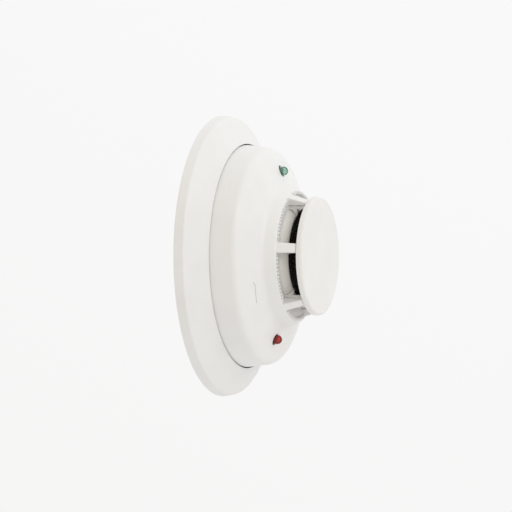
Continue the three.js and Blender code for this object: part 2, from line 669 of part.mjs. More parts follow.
add('chamber_base', chamberBase(), blackPlastic);
add('chamber_labyrinth', chamberLabyrinth(), blackPlastic);
add('insect_screen', insectScreen(), screenBlack);
const opticHeight = CHAMBER_FLOOR + 0.1 + GAP + OPTIC_RADIUS;
addAt('infrared_emitter', optic(), clearBlue, OPTIC_PLACE, OPTIC_ANGLES[0], opticHeight);
addAt('photodiode', optic(), epoxy, OPTIC_PLACE, OPTIC_ANGLES[1], opticHeight);
addAt('thermistor_1', thermistor(), epoxy, THERMISTOR_PLACE, THERMISTOR_ANGLE, 0);
addAt('thermistor_2', thermistor(), epoxy, THERMISTOR_PLACE, -THERMISTOR_ANGLE, 0);

addAt('led_spacer_1', indicatorSpacer(), blackPlastic, LED_PLACE, LED_ANGLES[0], 0);
addAt('led_spacer_2', indicatorSpacer(), blackPlastic, LED_PLACE, LED_ANGLES[1], 0);
addAt('led_green', indicator(), greenLens, LED_PLACE, LED_ANGLES[0], 0);
addAt('led_red', indicator(), redLens, LED_PLACE, LED_ANGLES[1], 0);

add('front_cover', frontCover(), coverPlastic);
add('vent_throat', ventThroat(), coverPlastic);
for (let i = 0; i < FIN_COUNT; i += 1) {
  addAt(`vent_fin_${i + 1}`, ventFin(i % 2 === 0), coverPlastic, 0, i * (360 / FIN_COUNT), 0);
}
add('cap_disc', capDisc(), capPlastic);

export default group;
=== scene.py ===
import math

import bmesh
import bpy
from mathutils import Matrix, Vector


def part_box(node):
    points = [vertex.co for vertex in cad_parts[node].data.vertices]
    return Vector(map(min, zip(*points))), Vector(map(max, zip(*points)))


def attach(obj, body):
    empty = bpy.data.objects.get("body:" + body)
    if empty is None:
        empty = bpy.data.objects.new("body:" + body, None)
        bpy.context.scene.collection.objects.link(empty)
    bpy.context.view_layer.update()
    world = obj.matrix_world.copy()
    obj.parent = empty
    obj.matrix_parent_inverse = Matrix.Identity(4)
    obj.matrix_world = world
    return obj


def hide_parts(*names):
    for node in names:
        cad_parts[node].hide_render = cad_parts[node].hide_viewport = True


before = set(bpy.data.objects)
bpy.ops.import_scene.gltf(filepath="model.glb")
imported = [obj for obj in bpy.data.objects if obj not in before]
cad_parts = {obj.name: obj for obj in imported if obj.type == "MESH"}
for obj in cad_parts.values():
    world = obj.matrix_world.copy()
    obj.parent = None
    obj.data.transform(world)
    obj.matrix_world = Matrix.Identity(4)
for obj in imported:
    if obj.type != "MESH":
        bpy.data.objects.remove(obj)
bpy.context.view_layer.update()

# A round heat detector on a wall base. Lengths below are millimetres and angles degrees, in the
# detector's own frame: a point is (radius, angle, height), where height is the distance in front of
# the wall.
# Meshes are built there and turned and scaled into the row frame when they are finished.

MM = 0.001
TURN = math.radians(7.6)  # the detector sits turned clockwise on its wall
TO_ROW = Matrix.Rotation(TURN, 4, "Y") @ Matrix.Scale(MM, 4)
GAP = 0.3
THIRD = 120


def size_of(node):
    low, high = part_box(node)
    return (high - low) / MM


def front_of(node):
    return -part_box(node)[0].y / MM


def back_of(node):
    return -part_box(node)[1].y / MM


BASE_RADIUS = size_of("mounting_base").x / 2
BASE_HEIGHT = front_of("mounting_base") + 0.1
WALL_RADIUS = 64.4
OPENING_RADIUS = 24
WELL_RADIUS = 62.2
FLOOR = 2.8
LEDGE_LOW = 10.2
LEDGE_HIGH = 11.8
SLOT_HALF = 2.3
SLOT_INNER = 30
SLOT_OUTER = 44.5
RIB_COUNT = 12
TERMINAL_ANGLES = (45, 135, 225, 315)
SCREW_PLACE = 56
SCREW_HOLE = 1.9
WASHER_LOW = FLOOR + GAP + 0.7 + GAP

HOUSING_LOW = back_of("rear_housing")
HOUSING_TOP = front_of("rear_housing")
HOUSING_RADIUS = 57
BOARD_LOW = back_of("circuit_board")
BOARD_TOP = front_of("circuit_board")
BOARD_RADIUS = 52.5
PART_LOW = BOARD_TOP + GAP
POST_ANGLES = (60, 180, 300)
POST_PLACE = 46
BLADE_PLACE = 41.4

CHAMBER_RADIUS = size_of("insect_screen").x / 2
CHAMBER_FLOOR = front_of("insect_screen") - size_of("insect_screen").y - GAP
SCREEN_TOP = front_of("insect_screen")
VANE_COUNT = 14
OPTIC_ANGLES = (0, 145)
OPTIC_RADIUS = 1.8

RIM_HEIGHT = 42.6
DASH_REACH = 6
DASH_STEP = 3.4
DASH_PLACE = 34.5
DASH_HEIGHT = 1.05
CAP_RADIUS = size_of("cap_disc").x / 2
CAP_FRONT = front_of("cap_disc")
CAP_BACK = back_of("cap_disc")
FIN_TOP = CAP_BACK - GAP
FIN_COUNT = 6
FIN_HALF_ANGLE = 4.65
GROOVE_INNER = 30.15
GROOVE_OUTER = 30.75
GROOVE_DEPTH = 1.2
GUSSET_TOP = 46.8
GUSSET_WIDTH = 4.2
PEG_PLACE = 30.2
GRILLE_LOW = 47.6
GRILLE_RADIUS = 26.0
SLAT_COUNT = 120
DOME_SLOPE = 0.36
MARK_START = 205.1
MARK_SWEEP = 15
MARK_RADIUS = 45.7
MARK_HEIGHT = 33.71

LED_PLACE = 46.6
LED_ANGLES = {"green": 97.5, "red": 265.5}
LED_LOW = back_of("led_green")
LED_TOP = front_of("led_green")
LED_RADIUS = 2.5
LED_FLANGE_RADIUS = 2.9
LED_HOLE_RADIUS = 3.05
# The dark sleeve at each lamp's foot is painted shade, standing in for the shadow in the gap of the lamp's
# hole.
GAP_SHADE_LOW = LED_LOW + 2.4
GAP_SHADE_TOP = 33.45
BEAD_PLACE = 30.6
BEAD_ANGLES = (30, -30)
BEAD_TOP = front_of("thermistor_1")

# Where each part stands on the board: (radius, angle).
RELAY_PLACE = (36.5, 238)
LARGE_CAN_PLACE = (36.5, 135)
SMALL_CAN_PLACE = (37, 112)
PROCESSOR_PLACE = (41, 330)
REED_PLACE = (45, 208)
REED_RADIUS = 1.3
REED_HEIGHT = PART_LOW + REED_RADIUS


# ---------------------------------------------------------------- mesh tools

ON_AXIS = 1e-6
HALF_EDGE = 0.49  # a fillet takes a little less than half of the edges beside it
SHORTEST_EDGE = 0.01
WELD = 0.001
SHARP_EDGE = math.radians(25)
SHARP_SHADING = math.radians(32)


def rounded(corners, steps=5, support=0.12):
    """Points round a closed outline of (x, y, fillet) corners, with a close pair of points at each
    end of a fillet, so that the flats between fillets shade flat."""
    points = []
    count = len(corners)
    for i, corner in enumerate(corners):
        here = Vector(corner[:2])
        before = Vector(corners[i - 1][:2]) - here
        after = Vector(corners[(i + 1) % count][:2]) - here
        fillet = corner[2] if len(corner) > 2 else 0
        if fillet <= 0 or corner[0] <= 0:
            points.append(here)
            continue
        half = before.angle(after) / 2
        reach = min(fillet / math.tan(half), before.length * HALF_EDGE, after.length * HALF_EDGE)
        start = here + before.normalized() * reach
        end = here + after.normalized() * reach
        extra = min(support, before.length * HALF_EDGE - reach, after.length * HALF_EDGE - reach)
        if extra > SHORTEST_EDGE:
            points.append(start + before.normalized() * extra)
        radius = reach * math.tan(half)
        inward = (before.normalized() + after.normalized()).normalized()
        centre = here + inward * (radius / math.sin(half))
        first = start - centre
        sweep = first.angle_signed(end - centre)
        for k in range(steps + 1):
            points.append(centre + Matrix.Rotation(-sweep * k / steps, 2) @ first)
        if extra > SHORTEST_EDGE:
            points.append(end + after.normalized() * extra)
    return [(p.x, p.y) for p in points]


def bezier(start, first, second, end, steps):
    """Points on a cubic curve, its start left out."""
    def at(t):
        s = 1 - t
        weights = (s * s * s, 3 * s * s * t, 3 * s * t * t, t * t * t)
        return tuple(sum(w * p[k] for w, p in zip(weights, (start, first, second, end))) for k in (0, 1))
    return [at(i / steps) for i in range(1, steps + 1)]


def skin(bm, rings, closed_path=False, caps=True):
    """Quads between neighbouring rings of vertices; a ring of one vertex is a pole."""
    pairs = list(zip(rings, rings[1:]))
    if closed_path:
        pairs.append((rings[-1], rings[0]))
    for near, far in pairs:
        count = max(len(near), len(far))
        for i in range(count):
            j = (i + 1) % count
            if len(near) == 1 and len(far) == 1:
                continue
            if len(near) == 1:
                bm.faces.new((near[0], far[j], far[i]))
            elif len(far) == 1:
                bm.faces.new((near[i], near[j], far[0]))
            else:
                bm.faces.new((near[i], near[j], far[j], far[i]))
    if caps and not closed_path:
        for ring in (rings[0], rings[-1]):
            if len(ring) > 2:
                bm.faces.new(ring)
    bmesh.ops.recalc_face_normals(bm, faces=bm.faces)
    return bm


def revolve(outline, segments):
    """A full turn of a closed (radius, height) outline about the detector's axis."""
    bm = bmesh.new()
    rings = []
    for radius, height in outline:
        if radius < ON_AXIS:
            rings.append([bm.verts.new((0, -height, 0))])
            continue
        angles = [2 * math.pi * i / segments for i in range(segments)]
        rings.append([bm.verts.new((radius * math.cos(a), -height, radius * math.sin(a))) for a in angles])
    pole_to_pole = outline[0][0] < ON_AXIS and outline[-1][0] < ON_AXIS
    return skin(bm, rings, closed_path=not pole_to_pole, caps=False)


def loft(sections):
    """A closed body through sections of equal length, given as lists of points."""
    bm = bmesh.new()
    return skin(bm, [[bm.verts.new(p) for p in section] for section in sections])


def softened(bm, offset, segments=2):
    """Rounds every sharp edge."""
    sharp = [e for e in bm.edges if len(e.link_faces) == 2 and e.calc_face_angle() > SHARP_EDGE]
    bmesh.ops.bevel(bm, geom=sharp, offset=offset, segments=segments, profile=0.5, affect="EDGES",
                    clamp_overlap=True)
    return bm


def slab(profile, width, bevel):
    """A (radius, height) profile with a width across the radius."""
    return softened(loft([[(x, -y, z) for x, y in profile] for z in (-width / 2, width / 2)]), bevel)


def sheet_shape(profile, low, high, bevel):
    """A shape seen from the front, as (x, z) points, between two heights."""
    return softened(loft([[(x, -h, z) for x, z in profile] for h in (low, high)]), bevel)


def box(x, z, low, high, bevel, segments=2):
    bm = loft([[(sx * x / 2, -h, sz * z / 2) for sx, sz in ((-1, -1), (1, -1), (1, 1), (-1, 1))]
               for h in (low, high)])
    return softened(bm, bevel, segments)


def rod(radius, low, high, bevel, segments=48):
    corners = [(0, low), (radius, low, bevel), (radius, high, bevel), (0, high)]
    return revolve(rounded(corners, 3, 0.05), segments)


def tube(path, radius, sides, closed=False):
    """A round wire along 3-D points."""
    bm = bmesh.new()
    points = [Vector(p) for p in path]
    count = len(points)
    rings = []
    side = None
    for i, p in enumerate(points):
        ahead = points[(i + 1) % count] if closed or i + 1 < count else p
        behind = points[i - 1] if closed or i > 0 else p
        along = (ahead - behind).normalized()
        if side is None:
            side = along.orthogonal().normalized()
        side = (side - along * side.dot(along)).normalized()
        up = along.cross(side)
        rings.append([bm.verts.new(p + (side * math.cos(a) + up * math.sin(a)) * radius)
                      for a in (2 * math.pi * k / sides for k in range(sides))])
    return skin(bm, rings, closed_path=closed)


def arc_sector(inner, outer, start, end, steps=10):
    """(x, z) points of a ring sector between two angles in degrees."""
    angles = [math.radians(start + (end - start) * i / steps) for i in range(steps + 1)]
    return ([(outer * math.cos(a), outer * math.sin(a)) for a in angles]
            + [(inner * math.cos(a), inner * math.sin(a)) for a in reversed(angles)])


def moved(bm, place=0, angle=0, height=0, before=Matrix.Identity(4)):
    """Takes a shape out along +X and up, then turns it round the detector's axis."""
    spin = Matrix.Rotation(-math.radians(angle), 4, "Y")
    bm.transform(spin @ Matrix.Translation((place, -height, 0)) @ before)
    return bm


def merged(shapes):
    whole = bmesh.new()
    for shape in shapes:
        part = bpy.data.meshes.new("part")
        shape.to_mesh(part)
        shape.free()
        whole.from_mesh(part)
        bpy.data.meshes.remove(part)
    return whole


def raw_object(name, bm):
    mesh = bpy.data.meshes.new(name)
    bm.to_mesh(mesh)
    bm.free()
    thing = bpy.data.objects.new(name, mesh)
    bpy.context.scene.collection.objects.link(thing)
    return thing


def boolean(bm, tool, operation):
    """The solid bm joined with, or cut by, the solid tool, whose own parts don't overlap."""
    body, cutter = raw_object("body", bm), raw_object("cutter", tool)
    modifier = body.modifiers.new("cut", "BOOLEAN")
    modifier.operation = operation
    modifier.object = cutter
    modifier.solver = "EXACT"
    evaluated = body.evaluated_get(bpy.context.evaluated_depsgraph_get())
    result = bmesh.new()
    mesh = bpy.data.meshes.new_from_object(evaluated)
    result.from_mesh(mesh)
    for thing in (body, cutter):
        old = thing.data
        bpy.data.objects.remove(thing)
        bpy.data.meshes.remove(old)
    bpy.data.meshes.remove(mesh)
    bmesh.ops.remove_doubles(result, verts=result.verts, dist=WELD)
    return result


def piece(name, bm, body, material, nodes=()):
    """Turns a finished shape into a piece that rides on a body."""
    bm.transform(TO_ROW)
    thing = raw_object(name, bm)
    thing.data.materials.append(material)
    thing.data.shade_smooth()
    thing.data.set_sharp_from_angle(angle=SHARP_SHADING)
    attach(thing, body)
    if nodes:
        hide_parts(*nodes)


# ---------------------------------------------------------------- materials

# Scales are repeats a metre, depths are metres, and the tarnish is a share of the colour.
CLOUD_SCALE = 60
SHEEN_SCALE = 240
GRAIN_SCALE = 2600
GRAIN_DEPTH = 0.00002
DRAWN_SCALE = 900
DRAWN_DEPTH = 0.00001
STAIN_SCALE = 180
TARNISH = 0.12


def new_material(name):
    material = bpy.data.materials.new(name)
    material.use_nodes = True
    nodes = material.node_tree.nodes
    shader = nodes["Principled BSDF"]
    place = nodes.new("ShaderNodeTexCoord").outputs["Object"]
    return material, material.node_tree, shader, place


def noise(tree, place, scale, detail=3.0, rough=0.5):
    node = tree.nodes.new("ShaderNodeTexNoise")
    node.inputs["Scale"].default_value = scale
    node.inputs["Detail"].default_value = detail
    node.inputs["Roughness"].default_value = rough
    tree.links.new(place, node.inputs["Vector"])
    return node.outputs["Fac"]


def ramp(tree, value, low, high, start=0.3, end=0.7):
    """Maps a 0 to 1 pattern between two colours."""
    node = tree.nodes.new("ShaderNodeValToRGB")
    node.color_ramp.elements[0].position = start
    node.color_ramp.elements[1].position = end
    node.color_ramp.elements[0].color = (*low, 1)
    node.color_ramp.elements[1].color = (*high, 1)
    tree.links.new(value, node.inputs["Fac"])
    return node.outputs["Color"]


def spread(tree, value, low, high):
    node = tree.nodes.new("ShaderNodeMapRange")
    node.inputs["From Min"].default_value = 0.3
    node.inputs["From Max"].default_value = 0.7
    node.inputs["To Min"].default_value = low
    node.inputs["To Max"].default_value = high
    tree.links.new(value, node.inputs["Value"])
    return node.outputs["Result"]


def bumped(tree, shader, value, strength, distance):
    node = tree.nodes.new("ShaderNodeBump")
    node.inputs["Strength"].default_value = strength
    node.inputs["Distance"].default_value = distance
    tree.links.new(value, node.inputs["Height"])
    tree.links.new(node.outputs["Normal"], shader.inputs["Normal"])


def tinted(colour, factor):
    return tuple(min(c * factor, 1) for c in colour)


def moulded(name, colour, roughness, mottle=0.015, shine=0.5):
    """Moulded plastic: an even colour with a faint mottle, over a fine spark-eroded grain."""
    material, tree, shader, place = new_material(name)
    cloud = noise(tree, place, CLOUD_SCALE, 4)
    tree.links.new(ramp(tree, cloud, tinted(colour, 1 - mottle), tinted(colour, 1 + mottle)),
                   shader.inputs["Base Color"])
    fine = noise(tree, place, GRAIN_SCALE, 2, 0.6)
    tree.links.new(spread(tree, noise(tree, place, SHEEN_SCALE, 2), roughness - 0.04, roughness + 0.04),
                   shader.inputs["Roughness"])
    bumped(tree, shader, fine, 0.35, GRAIN_DEPTH)
    shader.inputs["Specular IOR Level"].default_value = shine
    return material


def metal(name, colour, roughness, stretch=(1, 30, 1)):
    """Plated or stamped metal with drawn marks along one way and a faint tarnish."""
    material, tree, shader, place = new_material(name)
    shader.inputs["Metallic"].default_value = 1.0
    mapping = tree.nodes.new("ShaderNodeMapping")
    mapping.inputs["Scale"].default_value = stretch
    tree.links.new(place, mapping.inputs["Vector"])
    lines = noise(tree, mapping.outputs["Vector"], DRAWN_SCALE, 2)
    stain = noise(tree, place, STAIN_SCALE, 4)
    tree.links.new(ramp(tree, stain, tinted(colour, 1 - TARNISH), colour), shader.inputs["Base Color"])
    tree.links.new(spread(tree, lines, roughness - 0.08, roughness + 0.1), shader.inputs["Roughness"])
    bumped(tree, shader, lines, 0.2, DRAWN_DEPTH)
    return material


def lens(name, colour, edge, clear=0.55):
    """Tinted clear plastic, a shade darker where a swirl of dye runs thicker."""
    material, tree, shader, place = new_material(name)
    swirl = noise(tree, place, 500, 2)
    tree.links.new(ramp(tree, swirl, edge, colour), shader.inputs["Base Color"])
    tree.links.new(spread(tree, noise(tree, place, 900, 2), 0.06, 0.12), shader.inputs["Roughness"])
    shader.inputs["Transmission Weight"].default_value = clear
    shader.inputs["IOR"].default_value = 1.5
    shader.inputs["Specular IOR Level"].default_value = 0.3
    return material


def board_material():
    """Green solder mask with copper tracks showing through it as paler lines."""
    material, tree, shader, place = new_material("board")
    brick = tree.nodes.new("ShaderNodeTexBrick")
    brick.offset = 0.5
    for key, value in (("Scale", 55), ("Mortar Size", 0.028), ("Mortar Smooth", 0.1),
                       ("Brick Width", 0.6), ("Row Height", 0.22)):
        brick.inputs[key].default_value = value
    brick.inputs["Color1"].default_value = (0.012, 0.10, 0.035, 1)
    brick.inputs["Color2"].default_value = (0.016, 0.12, 0.045, 1)
    brick.inputs["Mortar"].default_value = (0.05, 0.24, 0.10, 1)
    flat = tree.nodes.new("ShaderNodeMapping")
    flat.inputs["Rotation"].default_value = (math.pi / 2, 0, 0)
    tree.links.new(place, flat.inputs["Vector"])
    tree.links.new(flat.outputs["Vector"], brick.inputs["Vector"])
    tree.links.new(brick.outputs["Color"], shader.inputs["Base Color"])
    tree.links.new(spread(tree, noise(tree, place, 300, 2), 0.3, 0.42), shader.inputs["Roughness"])
    bumped(tree, shader, brick.outputs["Fac"], 0.3, 0.00004)
    return material


BASE_WHITE = moulded("base_white", (0.9, 0.9, 0.895), 0.5)
COVER_WHITE = moulded("cover_white", (0.91, 0.91, 0.903), 0.4)
# Painted light: the throat gets a lighter, warmer copy of the cover's white, standing in for light that the
# shaded vent cavity doesn't get.
THROAT_PAINTED_LIGHT = moulded("throat_painted_light", (0.965, 0.945, 0.905), 0.4)
# Painted shade: this grey stands for the shadow along the moulded magnet mark on the white dome.
MARK_PAINTED_SHADE = moulded("mark_painted_shade", (0.58, 0.58, 0.57), 0.5)
CAP_WHITE = moulded("cap_white", (0.895, 0.89, 0.872), 0.45)
HOUSING_WHITE = moulded("housing_white", (0.74, 0.73, 0.69), 0.5)
# Black plastic of the chamber parts, also used for the painted shade sleeves at the lamps' feet.
BLACK = moulded("chamber_black_and_gap_shade", (0.012, 0.012, 0.011), 0.55, mottle=0.2)
MESH_BLACK = moulded("mesh_black", (0.01, 0.0095, 0.008), 0.5, mottle=0.2, shine=0.2)
GRILLE_BLACK = moulded("grille_black", (0.007, 0.0065, 0.0055), 0.6, mottle=0.2, shine=0.1)
RELAY = moulded("relay_case", (0.028, 0.03, 0.034), 0.35, mottle=0.15)
SLEEVE = moulded("capacitor_sleeve", (0.012, 0.022, 0.05), 0.3, mottle=0.15)
CHIP = moulded("chip_epoxy", (0.014, 0.014, 0.015), 0.5, mottle=0.2)
EPOXY = moulded("dipped_epoxy", (0.02, 0.016, 0.013), 0.22, mottle=0.25)
BRASS = metal("spring_brass", (0.74, 0.55, 0.25), 0.3)
NICKEL = metal("nickel_plate", (0.68, 0.66, 0.62), 0.28)
STEEL = metal("zinc_steel", (0.6, 0.61, 0.62), 0.35)
SOLDER = metal("solder", (0.66, 0.67, 0.68), 0.25, (1, 1, 1))
GREEN = lens("green_lens", (0.63, 1.0, 0.86), (0.52, 1.0, 0.79), 0.8)
RED = lens("red_lens", (0.92, 0.06, 0.045), (0.8, 0.03, 0.025), 0.85)
BLUE = lens("infrared_lens", (0.05, 0.04, 0.12), (0.02, 0.02, 0.06))
GLASS = lens("reed_glass", (0.75, 0.82, 0.78), (0.6, 0.72, 0.66))
BOARD = board_material()


# ---------------------------------------------------------------- mounting base

def mounting_base():
    shell = revolve(rounded([
        (OPENING_RADIUS, 0, 0.3), (WALL_RADIUS, 0, 0.3), (WALL_RADIUS, BASE_HEIGHT - 3.8, 0.8),
        (BASE_RADIUS - 2.2, 3.65, 0.8), (BASE_RADIUS - 2.2, 0, 0.3), (BASE_RADIUS, 0, 0.4),
        (BASE_RADIUS - 1, 5.25, 1.3),
        (61.7, BASE_HEIGHT, 0.3), (61.7, 13.6, 0.2), (WELL_RADIUS, 13.0, 0.2), (WELL_RADIUS, FLOOR, 0.6),
        (OPENING_RADIUS, FLOOR, 0.4),
    ]), 256)
    rib = [(64.0, 0.8), (BASE_RADIUS - 2, 0.8), (BASE_RADIUS - 2, 3.9), (64.0, BASE_HEIGHT - 3.4)]
    added = [moved(slab(rib, 1.5, 0.1), angle=360 / RIB_COUNT * (i + 0.5)) for i in range(RIB_COUNT)]
    for i in range(3):
        ledge = sheet_shape(arc_sector(59, 62.6, -9.4, 8), LEDGE_LOW, LEDGE_HIGH, 0.25)
        stop = sheet_shape(arc_sector(59.05, 62.5, -9.35, -7.4, 3), HOUSING_LOW, LEDGE_LOW + 0.6, 0.2)
        added.append(moved(boolean(ledge, stop, "UNION"), angle=i * THIRD))
    # A raised ring stiffens the floor round the wire opening.
    added.append(revolve(rounded([(24.6, 2.4, 0), (27, 2.4, 0), (26.6, 4.2, 0.5), (25, 4.2, 0.5)], 3), 128))
    base = boolean(shell, merged(added), "UNION")

    slot = []
    for x, start in ((SLOT_OUTER, -90), (SLOT_INNER, 90)):
        for k in range(13):
            angle = math.radians(start + 180 * k / 12)
            slot.append((x + SLOT_HALF * math.cos(angle), SLOT_HALF * math.sin(angle)))
    cuts = [moved(sheet_shape(slot, -1, 4, 0), angle=math.degrees(TURN) + a) for a in (0, 180)]
    cuts += [moved(rod(SCREW_HOLE, -1, 4, 0, 32), SCREW_PLACE, a) for a in TERMINAL_ANGLES]
    return boolean(base, merged(cuts), "DIFFERENCE")


def terminal_clip():
    low = FLOOR + GAP
    profile = rounded([
        (43, low, 0.1), (60, low, 0.1), (60, low + 0.7, 0.1), (52, low + 0.7, 0.3), (52, 6.4, 0.6),
        (44.2, 6.4, 0.5), (43, 7, 0.1), (42.7, 6.5, 0.1), (44, 5.8, 0.5), (51.3, 5.8, 0.2),
        (51.3, low + 0.7, 0.1), (43, low + 0.7, 0.1),
    ], 4, 0)
    strip = slab(profile, 7, 0.08)
    return boolean(strip, moved(rod(SCREW_HOLE, 0, 4.6, 0, 32), SCREW_PLACE), "DIFFERENCE")


def terminal_washer():
    return boolean(box(8, 8, 0, 0.8, 0.2), rod(SCREW_HOLE, -1, 2, 0, 32), "DIFFERENCE")


def cross(length, width, low, high):
    """Two crossed bars."""
    return merged([box(length, width, low, high, 0), box(width, length, low, high, 0)])


def pan_screw(shank, length, head, height):
    """A pan head with a cross recess, on a threaded shank."""
    outline = rounded([(0, height), (head * 0.45, height, 0.3), (head, height * 0.4, height * 0.5),
                       (head, 0, 0.15), (shank, 0, 0.05)][::-1], 5, 0.03)
    thread = []
    pitch = 0.7
    turns = int(length / pitch)
    for k in range(turns):
        top = -(length - k * pitch)
        thread += [(shank - 0.25, top), (shank, top + pitch * 0.4), (shank, top + pitch * 0.5)]
    body = revolve([(0, -length)] + thread + outline, 40)
    return boolean(body, cross(head * 1.1, 0.55, height * 0.45, height + 1), "DIFFERENCE")


def contact_blade():
    return slab(rounded([
        (41, 4.4, 0.6), (50.3, 4.4, 0.3), (50.3, 5.2, 0.3), (41.8, 5.2, 0.2), (41.8, 19.7, 0.1),
        (41, 19.7, 0.1),
    ], 4, 0), 5.5, 0.1)


# ---------------------------------------------------------------- front cover

def fin():
    """A wedge-shaped post that leans in towards the cap, its inner pillar set off by a groove on
    either side, and the low gusset that ties it to the throat's cone."""
    taper = math.tan(math.radians(FIN_HALF_ANGLE))
    sections = []
    levels = ((42.0, 35.5, 0.25), (42.9, 35.3, 0.15), (43.8, 35.0, 0), (45.0, 34.6, 0),
              (FIN_TOP, 32.2, -0.12))
    for height, outer, flare in levels:
        flat = []
        for side in (-1, 1):
            half = [(r, side * (r * taper + flare)) for r in (28.3, GROOVE_INNER, GROOVE_OUTER, outer)]
            groove = [(r, side * (r * taper + flare - GROOVE_DEPTH)) for r in (GROOVE_INNER, GROOVE_OUTER)]
            corners = [(*half[0], 0.3), (*half[1], 0.1), (*groove[0], 0), (*groove[1], 0),
                       (*half[2], 0.1), (*half[3], 0.35)]
            flat += corners if side < 0 else corners[::-1]
        sections.append([(a * math.cos(t / a), -height, a * math.sin(t / a))
                         for a, t in rounded(flat, 4, 0.05)])
    gusset = slab(rounded([(23.9, 46.15, 0), (24.9, 46.15, 0), (28.8, 42.8, 0), (28.8, GUSSET_TOP, 0),
                           (23.9, GUSSET_TOP, 0.2)], 4, 0), GUSSET_WIDTH, 0.12)
    return boolean(loft(sections), gusset, "UNION")


def cover_outline():
    shoulder = bezier((59.8, 24.6), (59.5, 27.2), (58.3, 28.5), (55.4, 29.8), 12)
    dome = bezier((55.4, 29.8), (51.2, 31.6), (46.6, 33.6), (42.4, 34.8), 12)
    fillet = bezier((42.4, 34.8), (39.9, 35.5), (38.9, 36.6), (38.3, 38.3), 10)
    outer = [(61.2, 12.9), (61.0, 15.0), (60.4, 19.8), (59.8, 24.6)] + shoulder + dome + fillet
    rim = rounded([(38.3, 38.3, 0), (36.2, 42.95, 1.0), (33.7, 42.75, 0.3), (33.3, 42.2, 0.2),
                   (28.25, 42.2, 0.1), (28.25, 40.6, 0.1), (34.4, 40.6, 0.5),
                   (36.8, 37.0, 1), (41.6, 32.8, 2), (54.8, 27.8, 2), (57.6, 25.2, 1.5), (58.0, 24.4, 0.5),
                   (59.2, 15.0, 0.5), (59.4, 12.4, 0.2), (61.2, 12.4, 0.4), (61.2, 12.9, 0)], 5)
    return outer[:-1] + rim[:-1]


def front_cover():
    tongues = []
    for i in range(3):
        tongue = sheet_shape(arc_sector(57.4, 58.9, -5, 5), 12.3, 22.5, 0.25)
        bridge = sheet_shape(arc_sector(57.5, 60.2, -4.9, 4.9), 19.6, 22.2, 0.2)
        tongues.append(moved(boolean(tongue, bridge, "UNION"), angle=30 + i * THIRD))
    holes = [moved(rod(LED_HOLE_RADIUS, 26, 40, 0, 64), LED_PLACE, a) for a in LED_ANGLES.values()]
    holes += [moved(rod(2.1, 38, 43.5, 0, 40), BEAD_PLACE, a) for a in BEAD_ANGLES]
    cover = boolean(revolve(cover_outline(), 256), merged(tongues), "UNION")
    return boolean(cover, merged(holes), "DIFFERENCE")


def vent_throat():
    return revolve(rounded([
        (28.25, 40.6, 0.1), (28.25, 42.55, 0.15), (28.0, 42.75, 0.15), (24.5, 45.9, 0.35),
        (23.3, 45.9, 0.25), (23.3, 45.3, 0.2), (27.2, 41.8, 0.3), (27.2, 40.6, 0.2),
    ]), 192)


def band(inner, outer, low, high, bevel, segments):
    """A flat hoop with eased edges."""
    corners = [(inner, low, bevel), (outer, low, bevel), (outer, high, bevel), (inner, high, bevel)]
    return revolve(rounded(corners, 2, 0.05), segments)


def rim_dashes():
    """Short raised dashes round the vent's rim, between the fins."""
    dashes = []
    for window in range(FIN_COUNT):
        for step in range(-DASH_REACH, DASH_REACH + 1):
            dash = box(1.6, 1.0, RIM_HEIGHT, RIM_HEIGHT + DASH_HEIGHT, 0.2)
            dashes.append(moved(dash, DASH_PLACE, 360 / FIN_COUNT * (window + 0.5) + step * DASH_STEP))
    return merged(dashes)


def cap_grille():
    """A black ring of slats under the cap, round the chamber's screen."""
    shapes = []
    for bottom, top in ((GRILLE_LOW, GRILLE_LOW + 0.7), (FIN_TOP - 0.8, FIN_TOP)):
        shapes.append(band(GRILLE_RADIUS - 0.6, GRILLE_RADIUS + 0.6, bottom, top, 0.1, 128))
    for i in range(SLAT_COUNT):
        slat = box(0.8, 0.7, GRILLE_LOW + 0.75, FIN_TOP - 0.85, 0)
        shapes.append(moved(slat, GRILLE_RADIUS, 360 / SLAT_COUNT * i))
    return merged(shapes)


def dome_mark():
    """A hair-thin raised arc on the dome, hooked at its upper end, that shows where the test magnet goes.
    Its grey is painted shade: the shadow line along the edge of the moulded mark."""
    path = []
    steps = 24
    for i in range(steps + 1):
        angle = math.radians(MARK_START + MARK_SWEEP * i / steps)
        drift = 1.2 * i / steps
        hook = 0.3 * max(0, 4 - i)
        radius = MARK_RADIUS + drift + hook
        height = MARK_HEIGHT - (drift + hook) * DOME_SLOPE
        path.append((radius * math.cos(angle), -height, radius * math.sin(angle)))
    return tube(path, 0.2, 8)


def cap_disc():
    disc = revolve(rounded([
        (0, CAP_BACK), (CAP_RADIUS, CAP_BACK, 0.35), (CAP_RADIUS, CAP_FRONT - 0.1, 1.5),
        (26, CAP_FRONT, 8), (0, CAP_FRONT),
    ], 10), 256)
    holes = merged([moved(rod(1.2, CAP_BACK - 1, 55, 0, 32), PEG_PLACE, i * THIRD) for i in range(3)])
    return boolean(disc, holes, "DIFFERENCE")


# ---------------------------------------------------------------- detector head

